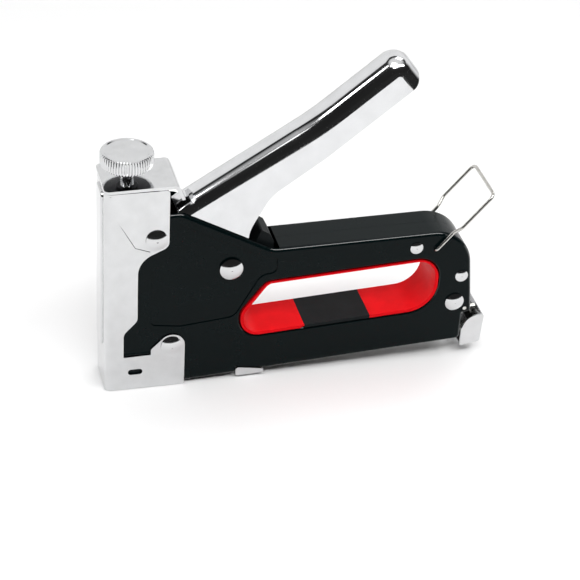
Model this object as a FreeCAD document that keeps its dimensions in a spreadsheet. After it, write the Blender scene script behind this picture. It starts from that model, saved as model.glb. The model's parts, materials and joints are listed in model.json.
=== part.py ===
"""Hand staple gun: pressed steel shells, chromed nose cover and lever, wire bail, rear-loading magazine.

Millimetres, +Z up, +X from the nose to the rear, Y across.  The origin is the middle of the foot that
backs the staple slot, in the plane that the nose is pressed down on.  The lever is open at rest.
"""
import FreeCAD, Part
import math
import os
from types import SimpleNamespace

import Sketcher

V = FreeCAD.Vector
Y_AXIS = V(0, 1, 0)
doc = FreeCAD.newDocument("staple_gun")

SIZES = {
    # nose
    "nose_front": -4.0,             # outer face of the nose cover
    "nose_height": 105.6,           # top edge of the nose cover
    "cover_half_width": 11.7,
    "cover_sheet": 1.0,
    "cover_bend": 3.0,              # outside radius of the two front bends
    "cover_upper_rear": 25.2,       # rear edge beside the tension spring
    "cover_waist": 11.1,            # rear edge at half height
    "cover_lower_rear": 33.4,       # rear edge beside the magazine
    "window_front": 4.7,            # stepped window that shows the shell
    "window_rear": 17.5,
    "window_bottom": 18.0,
    "rib_half_width": 6.2,
    "rib_bottom": 21.0,
    "rib_proud": 0.9,
    # shells
    "shell_half_width": 11.0,
    "shell_sheet": 1.2,
    "shell_front": -1.2,
    "shell_rear": 173.3,
    "shell_edge": 1.8,              # outside rounding of the pressed edges
    "shell_bottom": 1.0,
    "shell_shoulder": 92.6,         # top of the shells behind the nose
    "grip_height": 69.6,
    "seam": 0.05,                   # half of the gap between the two shells
    "body_slope": 0.061,            # rise of the magazine and the finger loop for each millimetre back
    "slot_rear": 77.0,              # rear end of the lever's slot
    "emboss": 0.5,
    "latch_notch": 4.4,             # how far the shells stop short above the magazine latch
    "latch_notch_top": 23.6,
    # finger loop and its lining
    "loop_front": 59.6,
    "loop_rear_wall": 18.6,         # from the loop to the rear of the shells
    "loop_floor": 23.0,
    "loop_height": 28.2,
    "pad": 1.5,
    "pad_half_width": 11.3,
    "front_pad": 30.9,              # length of each red pad along the floor of the loop
    "rear_pad": 32.4,
    # lever
    "pivot_along": 54.3,
    "pivot_height": 61.3,
    "pin": 3.0,
    "running": 0.05,                # radial clearance of a pin that turns
    "lever_half_width": 9.2,
    "lever_sheet": 1.5,
    "lever_depth": 17.2,
    "lever_edge": 7.0,
    "lever_front": 28.8,
    "lever_front_height": 93.2,
    "lever_tip_along": 127.5,       # centre of the rounded end
    "lever_tip_height": 151.1,
    "lift_rivet": 2.0,
    "lifter_reach": 30.0,
    "lifter_tip": 2.5,
    "lifter_drop": 6.2,             # how far the lifter's tip lies below the pivot at rest
    "lifter_half_width": 3.0,
    # striker, main spring and tension screw, all on one upright axis
    "axis_along": 7.8,
    "blade": 1.0,
    "blade_half_width": 5.4,
    "blade_front": -1.75,
    "blade_bottom": 0.6,
    "plunger_bottom": 38.4,
    "plunger_top": 67.0,
    "plunger_rear": 16.5,
    "plunger_half_width": 9.5,
    "spring_bore": 6.4,
    "spring_bore_bottom": 45.0,
    "spring_wire": 0.9,             # radius
    "spring_mean": 5.1,
    "seat_height": 95.0,
    "seat": 3.0,
    "cap_half_width": 13.0,
    "cap_sheet": 1.4,
    "cap_gap": 0.9,
    "screw": 3.0,
    "nut": 5.0,
    "knob": 12.0,
    "knob_rise": 8.4,               # from the nose's top edge to the underside of the knob
    "knob_thickness": 7.0,
    # magazine, in its own sloping frame
    "channel_half_width": 6.7,
    "channel_sheet": 1.0,
    "channel_bottom": 1.3,
    "channel_top": 18.0,
    "channel_front": 0.2,
    "foot_half_width": 4.0,
    "foot_rear": 5.0,
    "rod": 1.6,
    "rod_height": 9.0,
    "follower": 10.0,
    "follower_wire": 0.35,
    "latch_half_width": 10.3,
    "latch_sheet": 0.9,
    "latch_length": 11.4,
    # rivets and their places
    "nose_rivet": 5.0,
    "pivot_head": 5.4,
    "rear_rivet": 4.6,
    "flat_rivet": 3.1,
    "dome": 1.9,
    # wire bail, a flat frame that leans back from its pivot
    "bail_wire": 0.8,
    "bail_set_in": 21.5,            # from the bail's pivot to the rear of the shells
    "bail_height": 61.9,
    "bail_length": 38.0,
    "bail_half_width": 14.6,
    "bail_lean": 49.5,
    # small gap between parts that lie against each other
    "gap": 0.1,
}

sheet = doc.addObject("Spreadsheet::Sheet", "Sizes")
for row, (alias, value) in enumerate(SIZES.items(), start=1):
    sheet.set(f"A{row}", alias)
    sheet.set(f"B{row}", str(value))
    sheet.setAlias(f"B{row}", alias)
doc.recompute()


class Dim:
    """A size: its value now, and the expression that ties a property to the sheet."""

    def __init__(self, value, text):
        self.value = value
        self.text = text

    def __add__(self, other):
        other = dim(other)
        return Dim(self.value + other.value, f"({self.text} + {other.text})")

    def __sub__(self, other):
        other = dim(other)
        return Dim(self.value - other.value, f"({self.text} - {other.text})")

    def __mul__(self, other):
        other = dim(other)
        return Dim(self.value * other.value, f"({self.text} * {other.text})")

    def __truediv__(self, other):
        other = dim(other)
        return Dim(self.value / other.value, f"({self.text} / {other.text})")

    def __neg__(self):
        return Dim(-self.value, f"(-1 * {self.text})")

    def __radd__(self, other):
        return dim(other) + self

    def __rsub__(self, other):
        return dim(other) - self

    def __rmul__(self, other):
        return dim(other) * self


def dim(number):
    """A plain number as a size."""
    return number if isinstance(number, Dim) else Dim(float(number), f"{float(number):.6f}")


s = SimpleNamespace(**{alias: Dim(value, f"Sizes.{alias}") for alias, value in SIZES.items()})
s.loop_rear = s.shell_rear - s.loop_rear_wall
s.front_pad_end = s.loop_front + s.front_pad
s.rear_pad_start = s.loop_rear - s.rear_pad
s.knob_bottom = s.nose_height + s.knob_rise
s.channel_rear = s.shell_rear - s.latch_notch - 1.4
s.latch_rear = s.shell_rear - s.latch_notch + s.latch_length
s.bail_along = s.shell_rear - s.bail_set_in
NODES = []


def keep(label, thing):
    """Name a finished piece; its label is the name of its file."""
    thing.Label = label
    NODES.append(thing)
    return thing


def bind(thing, prop, length):
    thing.setExpression(prop, dim(length).text)


def place(thing, x=0, y=0, z=0, axis=V(0, 0, 1), degrees=0):
    """Put a primitive at a bound position, turned about its own base point."""
    thing.Placement = FreeCAD.Placement(V(0, 0, 0), FreeCAD.Rotation(axis, degrees))
    for letter, length in zip("xyz", (x, y, z)):
        bind(thing, f"Placement.Base.{letter}", length)


# ---- outlines and sketches ----------------------------------------------------------------------

def turn_sign(corners):
    """+1 when the outline runs anticlockwise."""
    area = 0.0
    for (x0, y0, _), (x1, y1, _) in zip(corners, corners[1:] + corners[:1]):
        area += dim(x0).value * dim(y1).value - dim(x1).value * dim(y0).value
    return 1 if area > 0 else -1


def grow(corners, gap):
    """The outline moved outwards by gap, or inwards where gap is negative, with its roundings to suit."""
    gap = dim(gap)
    sign = turn_sign(corners)
    points = [V(dim(x).value, dim(y).value, 0) for x, y, _ in corners]
    moved = []
    for i, (x, y, radius) in enumerate(corners):
        before = (points[i] - points[i - 1]).normalize()
        after = (points[(i + 1) % len(points)] - points[i]).normalize()
        normals = V(before.y, -before.x, 0) + V(after.y, -after.x, 0)
        shift = normals * (sign / (1 + before.dot(after)))
        convex = before.cross(after).z * sign > 0
        new_radius = dim(radius)
        if new_radius.value > 0:
            new_radius = new_radius + gap if convex else new_radius - gap
        moved.append((x + gap * shift.x, y + gap * shift.y, new_radius))
    return moved


def outline(sketch, corners, closed=True):
    """Draw an outline, each corner (x, y, radius) bound to the sheet and rounded where radius > 0."""
    corners = [tuple(dim(part) for part in corner) for corner in corners]
    points = [V(x.value, y.value, 0) for x, y, _ in corners]
    count = len(corners)
    starts, ends, centres = [], [], []
    for i, point in enumerate(points):
        back = (points[i - 1] - point).normalize()
        ahead = (points[(i + 1) % count] - point).normalize()
        half = back.getAngle(ahead) / 2
        radius = corners[i][2].value
        starts.append(point + back * (radius / math.tan(half)))
        ends.append(point + ahead * (radius / math.tan(half)))
        centre = None
        if radius > 0:
            centre = point + (back + ahead).normalize() * (radius / math.sin(half))
        centres.append(centre)
    if not closed:
        ends[0], starts[-1] = points[0], points[-1]
    lines = [sketch.addGeometry(Part.LineSegment(ends[i], starts[(i + 1) % count]), False)
             for i in range(count if closed else count - 1)]
    for i, (x, y, radius) in enumerate(corners):
        corner = sketch.addGeometry(Part.Point(points[i]), True)
        pin(sketch, "DistanceX", (-1, 1, corner, 1), x)
        pin(sketch, "DistanceY", (-1, 1, corner, 1), y)
        if not closed and i in (0, count - 1):
            line, end = (lines[0], 1) if i == 0 else (lines[-1], 2)
            sketch.addConstraint(Sketcher.Constraint("Coincident", line, end, corner, 1))
            continue
        before, after = lines[i - 1], lines[i]
        if centres[i] is None:
            sketch.addConstraint(Sketcher.Constraint("Coincident", before, 2, after, 1))
            sketch.addConstraint(Sketcher.Constraint("Coincident", before, 2, corner, 1))
            continue
        first, last = starts[i] - centres[i], ends[i] - centres[i]
        anticlockwise = first.cross(last).z > 0
        angles = [math.atan2(first.y, first.x), math.atan2(last.y, last.x)]
        if not anticlockwise:
            angles.reverse()
        circle = Part.Circle(centres[i], V(0, 0, 1), radius.value)
        arc = sketch.addGeometry(Part.ArcOfCircle(circle, *angles), False)
        first_end, last_end = (1, 2) if anticlockwise else (2, 1)
        sketch.addConstraint(Sketcher.Constraint("Tangent", before, 2, arc, first_end))
        sketch.addConstraint(Sketcher.Constraint("Tangent", after, 1, arc, last_end))
        sketch.addConstraint(Sketcher.Constraint("PointOnObject", corner, 1, before))
        sketch.addConstraint(Sketcher.Constraint("PointOnObject", corner, 1, after))
        pin(sketch, "Radius", (arc,), radius)


def pin(sketch, kind, where, length):
    """Add a dimension and tie it to the sheet."""
    length = dim(length)
    index = sketch.addConstraint(Sketcher.Constraint(kind, *where, length.value))
    sketch.setExpression(f"Constraints[{index}]", length.text)


def circle(sketch, x, y, radius):
    x, y, radius = dim(x), dim(y), dim(radius)
    ring = sketch.addGeometry(Part.Circle(V(x.value, y.value, 0), V(0, 0, 1), radius.value), False)
    pin(sketch, "DistanceX", (-1, 1, ring, 3), x)
    pin(sketch, "DistanceY", (-1, 1, ring, 3), y)
    pin(sketch, "Radius", (ring,), radius)


def draw(body, plane, shapes, offset=0):
    """A sketch on one of the body's own planes; a shape is an outline, or a circle as (x, y, radius)."""
    sketch = body.newObject("Sketcher::SketchObject", f"{body.Name}_sketch")
    support = [part for part in body.Origin.OriginFeatures if part.Role == f"{plane}_Plane"][0]
    sketch.AttachmentSupport = [(support, "")]
    sketch.MapMode = "FlatFace"
    bind(sketch, "AttachmentOffset.Base.z", offset)
    for shape in shapes:
        if isinstance(shape, list):
            outline(sketch, shape)
        else:
            circle(sketch, *shape)
    return sketch


def feature(kind, body, sketch, length, both_ways=False, backwards=False):
    step = body.newObject(f"PartDesign::{kind}", f"{body.Name}_{kind.lower()}")
    step.Profile = sketch
    step.SideType = "Symmetric" if both_ways else "One side"
    step.Reversed = backwards
    bind(step, "Length", length)
    sketch.Visibility = False
    return step


def new_body(name):
    return doc.addObject("PartDesign::Body", name)


def plate(name, shapes, half_width):
    """A body cut out in side view, as wide as twice half_width."""
    body = new_body(name)
    feature("Pad", body, draw(body, "XZ", shapes), half_width * 2, both_ways=True)
    return body


def cut_side(body, shapes, half_width):
    """Cut through the middle of a body in side view."""
    return feature("Pocket", body, draw(body, "XZ", shapes), half_width * 2, both_ways=True)


def round_edges(body, radius, wanted):
    """Round every edge of the body's last feature that wanted(edge) picks."""
    doc.recompute()
    base = body.Tip
    names = [f"Edge{i}" for i, edge in enumerate(base.Shape.Edges, start=1) if wanted(edge)]
    step = body.newObject("PartDesign::Fillet", f"{body.Name}_fillet")
    step.Base = (base, names)
    bind(step, "Radius", radius)
    return step


# ---- primitives and booleans --------------------------------------------------------------------

def block(name, low, high):
    box = doc.addObject("Part::Box", name)
    place(box, *low)
    for prop, start, end in zip(("Length", "Width", "Height"), low, high):
        bind(box, prop, dim(end) - start)
    return box


def upright(name, x, y, low, high, radius):
    rod = doc.addObject("Part::Cylinder", name)
    place(rod, x, y, low)
    bind(rod, "Radius", radius)
    bind(rod, "Height", dim(high) - low)
    return rod


def crosswise(name, x, z, low, high, radius):
    """A cylinder along Y."""
    rod = doc.addObject("Part::Cylinder", name)
    place(rod, x, low, z, V(1, 0, 0), -90)
    bind(rod, "Radius", radius)
    bind(rod, "Height", dim(high) - low)
    return rod


def fuse(name, *parts):
    joined = doc.addObject("Part::MultiFuse", name)
    joined.Shapes = list(parts)
    return joined


def cut(name, base, tool):
    rest = doc.addObject("Part::Cut", name)
    rest.Base = base
    rest.Tool = tool
    return rest


def common(name, base, tool):
    shared = doc.addObject("Part::Common", name)
    shared.Base = base
    shared.Tool = tool
    return shared


def group(name, parts):
    """Identical pieces that share a node, each its own solid."""
    together = doc.addObject("Part::Compound", name)
    together.Links = list(parts)
    return together


def mirrored(name, source):
    other = doc.addObject("Part::Mirroring", name)
    other.Source = source
    other.Normal = Y_AXIS
    return other


def coil(name, mean, wire, length, pitch):
    """A round-wire helix standing on its base point, its ends left open."""
    spine = doc.addObject("Part::Helix", f"{name}_spine")
    bind(spine, "Radius", mean)
    bind(spine, "Height", length)
    bind(spine, "Pitch", pitch)
    section = doc.addObject("Part::Circle", f"{name}_section")
    bind(section, "Radius", wire)
    place(section, mean, 0, 0, V(1, 0, 0), 90)
    swept = doc.addObject("Part::Sweep", name)
    swept.Sections = [section]
    swept.Spine = (spine, [])
    swept.Solid = True
    swept.Frenet = True
    return swept


# ---- shells -------------------------------------------------------------------------------------

def bottom(x):
    """Height of the shells' lower edge, which slopes up behind the nose."""
    return s.shell_bottom + s.body_slope * (x - s.cover_lower_rear)


def floor(x):
    return s.loop_floor + s.body_slope * (x - s.loop_front)


def ceiling(x):
    return floor(x) + s.loop_height


notch_along = s.shell_rear - s.latch_notch
slot_front = s.lever_front + 2.2
SHELL = [
    (s.shell_front, s.shell_bottom, 0),
    (s.cover_lower_rear, s.shell_bottom, 0),
    (notch_along, bottom(notch_along), 2.6),
    (notch_along, s.latch_notch_top, 0),
    (s.shell_rear, s.latch_notch_top + 0.8, 2),
    (s.shell_rear - 4.8, s.grip_height + 1.4, 20),
    (s.slot_rear - 3.5, s.grip_height - 0.2, 12),
    (slot_front, s.shell_shoulder, 8),
    (s.shell_front, s.shell_shoulder, 0),
]
diagonal = s.loop_front + 11.9
LOOP = [
    (s.loop_front, floor(s.loop_front), 9),
    (s.loop_rear, floor(s.loop_rear), s.loop_height * 0.53),
    (s.loop_rear, ceiling(s.loop_rear), s.loop_height * 0.37),
    (diagonal, ceiling(diagonal), 6),
    (s.loop_front, s.loop_floor + 13.5, 8),
]
COVER = [
    (s.nose_front, 0, 0),
    (s.cover_lower_rear, 0, 0.8),
    (s.cover_lower_rear, s.window_bottom + 10.4, 6.1),
    (s.window_rear + 7.2, s.window_bottom + 10.4, 5.5),
    (s.window_rear, s.window_bottom + 3.2, 0.8),
    (s.window_rear, s.window_bottom + 0.2, 0.4),
    (s.window_front, s.window_bottom, 0.4),
    (s.window_front, s.window_bottom + 13.0, 4.5),
    (s.cover_waist, s.window_bottom + 19.9, 4),
    (s.cover_waist, s.shell_shoulder - 22.8, 11),
    (s.cover_upper_rear, s.shell_shoulder - 16.2, 4),
    (s.cover_upper_rear, s.nose_height, 1.5),
    (s.nose_front, s.nose_height, 0),
]
PANEL = [
    (s.window_front + 12.5, s.window_bottom + 16.0, 3),
    (s.cover_lower_rear - 2.0, s.window_bottom + 14.0, 3),
    (s.loop_front - 3.0, floor(s.loop_front) + 11.6, 6),
    (diagonal - 3.0, ceiling(diagonal) + 4.0, 6),
    (s.slot_rear - 1.0, ceiling(s.slot_rear) + 4.6, 3),
    (s.slot_rear - 1.0, s.grip_height - 4.0, 2),
    (s.slot_rear - 6.0, s.grip_height - 4.0, 8),
    (slot_front + 0.6, s.shell_shoulder - 6.2, 2),
    (s.cover_upper_rear + 4.4, s.shell_shoulder - 7.4, 1),
    (s.cover_upper_rear + 4.4, s.shell_shoulder - 20.5, 5),
    (s.window_front + 12.5, s.shell_shoulder - 29.0, 5),
]

RIVET_PLACES = {
    "upper_nose": (s.cover_upper_rear - 5.7, s.shell_shoulder - 12.1),
    "lower_nose": (s.cover_lower_rear - 6.3, s.window_bottom + 4.2),
    "grip": (s.bail_along - 9.3, s.bail_height + 1.6),
    "upper_rear": (s.shell_rear - 7.1, s.bail_height - 16.2),
    "rear": (s.shell_rear - 9.4, s.latch_notch_top + 7.8),
    "latch_stop": (s.shell_rear - 3.8, s.latch_notch_top + 3.4),
}
shank = dim(1.8)
small_pin = dim(0.9)
hole_gap = s.running

near = new_body("near_shell")
half_thickness = s.shell_half_width - s.seam
feature("Pad", near, draw(near, "XZ", [SHELL, LOOP], s.seam), half_thickness)
outer_face = -SIZES["shell_half_width"]
round_edges(near, s.shell_edge, lambda edge: all(abs(v.Y - outer_face) < 1e-6 for v in edge.Vertexes))
recess_depth = s.shell_half_width - s.cover_half_width + s.cover_sheet + s.gap
REACH = 40.0
recess = grow(COVER, s.gap * 5)
feature("Pocket", near, draw(near, "XZ", [recess], s.shell_half_width), recess_depth)
feature("Pocket", near, draw(near, "XZ", [PANEL], s.shell_half_width), s.emboss)
inner_rear = s.shell_rear - s.shell_sheet
inside = [
    (s.shell_front - REACH, s.shell_bottom - REACH, 0),
    (s.shell_rear + REACH, s.shell_bottom - REACH, 0),
    (s.shell_rear + REACH, s.latch_notch_top - 0.4, 0),
    (notch_along, s.latch_notch_top - 0.4, 0),
    (notch_along, s.latch_notch_top + s.shell_sheet + 0.2, 0),
    (inner_rear, s.latch_notch_top + s.shell_sheet + 1.0, 0),
    (inner_rear - 4.8, s.grip_height + 1.4 - s.shell_sheet, 18.8),
    (s.slot_rear, s.grip_height - s.shell_sheet, 0),
    (s.slot_rear, s.nose_height + 10, 0),
    (s.shell_front - REACH, s.nose_height + 10, 0),
]
island = grow(LOOP, s.shell_sheet)
cavity = draw(near, "XZ", [inside, island], s.seam)
feature("Pocket", near, cavity, half_thickness - s.shell_sheet, backwards=True)
tab_front = s.loop_front - 1.9
tab_rear = tab_front + 15.0
notch = [(tab_front, s.shell_bottom - 5, 0), (tab_rear, s.shell_bottom - 5, 0),
         (tab_rear, bottom(tab_rear) + 1.2, 0.5), (tab_front, bottom(tab_front) + 3.8, 0.5)]
holes = [(x, z, (small_pin if name == "latch_stop" else shank) + hole_gap)
         for name, (x, z) in RIVET_PLACES.items()]
holes += [(s.pivot_along, s.pivot_height, s.pin + hole_gap),
          (s.bail_along, s.bail_height, s.bail_wire + hole_gap)]
cut_side(near, [notch] + holes, s.shell_half_width + 2)
keep("near_shell", near)
keep("far_shell", mirrored("far_shell", near))


# ---- nose cover, top cap and tension screw ------------------------------------------------------

def upright_edge(edge, x):
    """Whether a straight edge stands upright in the plane at x."""
    ends = edge.Vertexes
    return len(ends) == 2 and all(abs(v.X - x) < 1e-6 for v in ends) and abs(ends[0].Z - ends[1].Z) > 50


cover = plate("nose_cover", [COVER], s.cover_half_width)
round_edges(cover, s.cover_bend, lambda edge: upright_edge(edge, SIZES["nose_front"]))
inner_front = s.nose_front + s.cover_sheet
inner_side = s.cover_half_width - s.cover_sheet
hollow = [(inner_front, -inner_side, 2), (s.cover_lower_rear + 9, -inner_side, 0),
          (s.cover_lower_rear + 9, inner_side, 0), (inner_front, inner_side, 2)]
feature("Pocket", cover, draw(cover, "XY", [hollow]), s.nose_height * 3, both_ways=True)
rib = [(-s.rib_half_width, s.rib_bottom, 5.6), (s.rib_half_width, s.rib_bottom, 5.6),
       (s.rib_half_width, s.nose_height - 2.0, 2), (-s.rib_half_width, s.nose_height - 2.0, 2)]
feature("Pad", cover, draw(cover, "YZ", [rib], s.nose_front - s.rib_proud), s.rib_proud + 0.3)
front_of_rib = SIZES["nose_front"] - SIZES["rib_proud"]
round_edges(cover, 0.7, lambda edge: all(abs(v.X - front_of_rib) < 1e-6 for v in edge.Vertexes))
keyhole = [(6.8, 8.0, 1.49), (13.6, 8.0, 1.49), (13.6, 11.0, 1.49), (6.8, 11.0, 1.49)]
nose_holes = [(*RIVET_PLACES[name], shank + hole_gap) for name in ("upper_nose", "lower_nose")]
cut_side(cover, [keyhole] + nose_holes, s.cover_half_width + 2)
keep("nose_cover", cover)

cap_low = s.nose_height + s.cap_gap
cap_high = cap_low + s.cap_sheet
CAP = [
    (s.nose_front - 0.2, cap_low, 0),
    (26.2, cap_low + 0.4, 0.6),
    (27.6, cap_low + 0.6, 1.6),
    (30.6, 100.8, 0),
    (32.0, 101.2, 0),
    (28.8, cap_high + 0.8, 3.0),
    (25.6, cap_high + 0.5, 1.2),
    (s.nose_front - 0.2, cap_high, 0),
]
cap = plate("top_cap", [CAP], s.cap_half_width)
cap_front = SIZES["nose_front"] - 0.2
round_edges(cap, 2.5, lambda edge: abs(edge.CenterOfMass.x - cap_front) < 1e-6
            and abs(edge.CenterOfMass.y) > 12)
feature("Pocket", cap, draw(cap, "XY", [(s.axis_along, 0, s.screw + 0.4)]), 400, both_ways=True)
keep("top_cap", cap)

nut_low = cap_low - 5.05
nut = new_body("tension_nut")
nut_plan = [(inner_front + 0.05, -inner_side + 0.1, 2), (s.cover_upper_rear - 6, -inner_side + 0.1, 1),
            (s.cover_upper_rear - 6, inner_side - 0.1, 1), (inner_front + 0.05, inner_side - 0.1, 2)]
nut_hole = (s.axis_along, 0, s.screw + s.running)
feature("Pad", nut, draw(nut, "XY", [nut_plan, nut_hole], nut_low), 5.0)
keep("tension_nut", nut)

seat_top = s.seat_height + s.seat + 0.5
seat = upright("seat_disc", s.axis_along, 0, s.seat_height, seat_top, s.spring_bore + 0.1)
spigot = upright("seat_spigot", s.axis_along, 0, s.seat_height - 4, s.seat_height + 1, s.spring_mean - 1.3)
keep("spring_seat", fuse("spring_seat", seat, spigot))

knob = new_body("tension_knob")
feature("Pad", knob, draw(knob, "XY", [(s.axis_along, 0, s.knob)], s.knob_bottom), s.knob_thickness)
round_edges(knob, 0.7, lambda edge: True)
stud_low = seat_top + 0.05
stud = draw(knob, "XY", [(s.axis_along, 0, s.screw)], stud_low)
feature("Pad", knob, stud, s.knob_bottom - stud_low + 0.5)
neck = draw(knob, "XY", [(s.axis_along, 0, s.screw + 2.0)], s.knob_bottom - 1.5)
feature("Pad", knob, neck, 2.0)
keep("tension_knob", knob)


# ---- striker and main spring --------------------------------------------------------------------

blade_rear = s.blade_front + s.blade
keep("striker_blade", block("striker_blade", (s.blade_front, -s.blade_half_width, s.blade_bottom),
                            (blade_rear, s.blade_half_width, s.plunger_top - 6)))
PLUNGER = [
    (blade_rear + 0.05, s.plunger_bottom, 1),
    (s.plunger_rear, s.plunger_bottom, 2),
    (s.plunger_rear, s.plunger_top - 4.8, 0),
    (s.plunger_rear + 9.7, s.plunger_top - 4.8, 1),
    (s.plunger_rear + 9.7, s.plunger_top, 1),
    (blade_rear + 0.05, s.plunger_top, 1),
]
plunger = plate("plunger", [PLUNGER], s.plunger_half_width)
bore = draw(plunger, "XY", [(s.axis_along, 0, s.spring_bore)], s.plunger_top)
feature("Pocket", plunger, bore, s.plunger_top - s.spring_bore_bottom)
lug_side = s.lifter_half_width + 2.0
trim = [[(s.plunger_rear, side * lug_side, 0), (s.plunger_rear + 20, side * lug_side, 0),
         (s.plunger_rear + 20, side * 30, 0), (s.plunger_rear, side * 30, 0)] for side in (-1, 1)]
feature("Pocket", plunger, draw(plunger, "XY", trim), 400, both_ways=True)
keep("striker_plunger", plunger)

spring_low = s.spring_bore_bottom + s.spring_wire + s.gap
spring_length = s.seat_height - s.spring_wire - s.gap - spring_low
main_spring = coil("main_spring", s.spring_mean, s.spring_wire, spring_length, spring_length / 9)
place(main_spring, s.axis_along, 0, spring_low)
keep("main_spring", main_spring)

guide_front = inner_front + 0.05
keep("blade_guide", block("blade_guide", (guide_front, -8.0, 0.2), (s.blade_front - s.gap, 8.0, 40.0)))
foot_front = blade_rear + 0.25
foot_core = block("foot_core", (foot_front, -s.foot_half_width, 0), (s.foot_rear, s.foot_half_width, 12))
foot_plate = block("foot_plate", (foot_front, -6.4, 0), (s.foot_rear, 6.4, s.channel_bottom - 0.2))
keep("foot_block", fuse("foot_block", foot_core, foot_plate))
buffer_low = s.channel_top + s.body_slope * 12 + s.gap
keep("buffer_pad", block("buffer_pad", (2, -7, buffer_low), (12, 7, s.plunger_bottom - 0.4)))


# ---- magazine -----------------------------------------------------------------------------------

def along(x, height):
    """A point of the magazine: how far back, and its height in the magazine's own sloping frame."""
    x = dim(x)
    return x, height + s.body_slope * x


def strip(front, rear, low, high, radius=0.0):
    """A side outline that follows the slope of the magazine."""
    return [(*along(front, low), radius), (*along(rear, low), radius),
            (*along(rear, high), radius), (*along(front, high), radius)]


def sloped(thing, x, height):
    """Lay a piece that stands on +Z along the magazine."""
    place(thing, *along(x, 0)[:1], 0, along(x, height)[1], Y_AXIS, 90)
    thing.setExpression("Placement.Rotation.Angle", "90 deg - atan(Sizes.body_slope)")


channel = plate("channel", [strip(s.channel_front, s.channel_rear, s.channel_bottom, s.channel_top)],
                s.channel_half_width)
channel_in = s.channel_half_width - s.channel_sheet
cut_side(channel, [strip(s.channel_front - 5, s.channel_rear + 5, s.channel_bottom - 5,
                         s.channel_top - s.channel_sheet)], channel_in)
keep("magazine_channel", channel)

tab_inside = s.channel_half_width + 0.05
ear_low, ear_high = bottom(tab_front) - 1.6, bottom(tab_front) + 3.2
EAR = [(tab_front + 0.6, ear_low, 1.0), (tab_rear - 0.8, ear_low + 0.6, 1.0),
       (tab_rear - 0.8, ear_low + 2.6, 1.2), (tab_front + 0.6, ear_high, 1.5)]
ears = plate("ears", [EAR], s.shell_half_width - 0.05)
cut_side(ears, [[(tab_front - 9, 2.4, 0), (tab_rear + 9, 3.4, 0), (tab_rear + 9, 30, 0),
                 (tab_front - 9, 30, 0)]], s.shell_half_width - s.shell_sheet)
cut_side(ears, [[(tab_front - 9, -9, 0), (tab_rear + 9, -9, 0), (tab_rear + 9, 30, 0),
                 (tab_front - 9, 30, 0)]], tab_inside)
keep("magazine_tabs", ears)

rod_front = s.foot_rear + 0.8
rod_end = s.latch_rear - s.latch_sheet
rod = doc.addObject("Part::Cylinder", "rod")
sloped(rod, rod_front, s.rod_height)
bind(rod, "Radius", s.rod)
rod_lowest = s.rod_height - s.rod + s.body_slope * s.latch_rear
latch_wall = s.latch_rear - 1.0 - s.latch_sheet + (rod_lowest - 7.2) * 0.067
bind(rod, "Height", latch_wall + 0.1 - rod_front)
LATCH = [
    (notch_along + 0.4, 4.5, 1.0), (s.latch_rear - 1.0, 6.3, 1.5), (s.latch_rear, 21.7, 1.0),
    (notch_along + 3.5, 21.2, 7.0), (notch_along + 0.8, 14.5, 1.5),
]
latch = plate("latch", [LATCH], s.latch_half_width)
LATCH_IN = [(notch_along - 9, 4.9, 0), (s.latch_rear - 1.0 - s.latch_sheet, 7.2, 0.8),
            (s.latch_rear - s.latch_sheet + 1.2, 40, 0), (notch_along - 9, 40, 0)]
cut_side(latch, [LATCH_IN], s.latch_half_width - s.latch_sheet)
keep("magazine_latch", latch)
keep("pusher_rod", rod)

FOLLOWER = strip(rod_front + 0.6, rod_front + 0.6 + s.follower, 3.0, 14.5, 0.8)
follower = plate("follower", [FOLLOWER], s.channel_half_width - s.channel_sheet - 0.3)
tunnel = doc.addObject("Part::Cylinder", "tunnel")
sloped(tunnel, rod_front - 5, s.rod_height)
bind(tunnel, "Radius", s.rod + s.running)
bind(tunnel, "Height", s.follower + 20)
keep("staple_pusher", cut("staple_pusher", follower, tunnel))

coil_start = rod_front + s.follower + 1.4
coil_length = rod_end - coil_start - 1.5
pusher_spring = coil("pusher_spring", s.rod + 0.9, s.follower_wire, coil_length, 4.0)
sloped(pusher_spring, coil_start, s.rod_height)
keep("pusher_spring", pusher_spring)


# ---- lining of the finger loop ------------------------------------------------------------------

lining_out = grow(LOOP, -0.05)
lining_in = grow(LOOP, -0.05 - s.pad)
for corner in (2, 3):                # thinner along the ceiling
    x, z, radius = lining_in[corner]
    lining_in[corner] = (x, z + s.pad * 0.6, radius)
middle = floor(100) + s.loop_height / 2


def lining(name, zone):
    """The part of the loop's lining that lies in one zone, seen from the side."""
    ring = plate(f"{name}_ring", [lining_out, lining_in], s.pad_half_width)
    piece = common(name, ring, plate(f"{name}_zone", [zone], s.pad_half_width + 2))
    keep(name, piece)


pad_end_floor = floor(s.front_pad_end)
lining("front_finger_pad", [
    (s.loop_front - 9, s.loop_floor - 9, 0), (s.front_pad_end - 1.6, s.loop_floor - 9, 0),
    (s.front_pad_end - 1.6, pad_end_floor + 0.4, 0), (s.front_pad_end, pad_end_floor + 1.0, 0),
    (s.front_pad_end, middle, 0), (diagonal - 2, middle, 0),
    (diagonal - 2, ceiling(diagonal) + 9, 0), (s.loop_front - 9, ceiling(diagonal) + 9, 0)])
lining("rear_finger_pad", [
    (s.rear_pad_start, s.loop_floor - 9, 0), (s.loop_rear + 9, s.loop_floor - 9, 0),
    (s.loop_rear + 9, ceiling(s.loop_rear) + 9, 0), (diagonal - 1.9, ceiling(diagonal) + 9, 0),
    (diagonal - 1.9, middle + 3, 0), (s.rear_pad_start, middle + 3, 0)])
lining("loop_floor_liner", [
    (s.front_pad_end + 0.1, s.loop_floor - 9, 0), (s.rear_pad_start - 0.1, s.loop_floor - 9, 0),
    (s.rear_pad_start - 0.1, middle, 0), (s.front_pad_end + 0.1, middle, 0)])


# ---- lever and lifter ---------------------------------------------------------------------------

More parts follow.
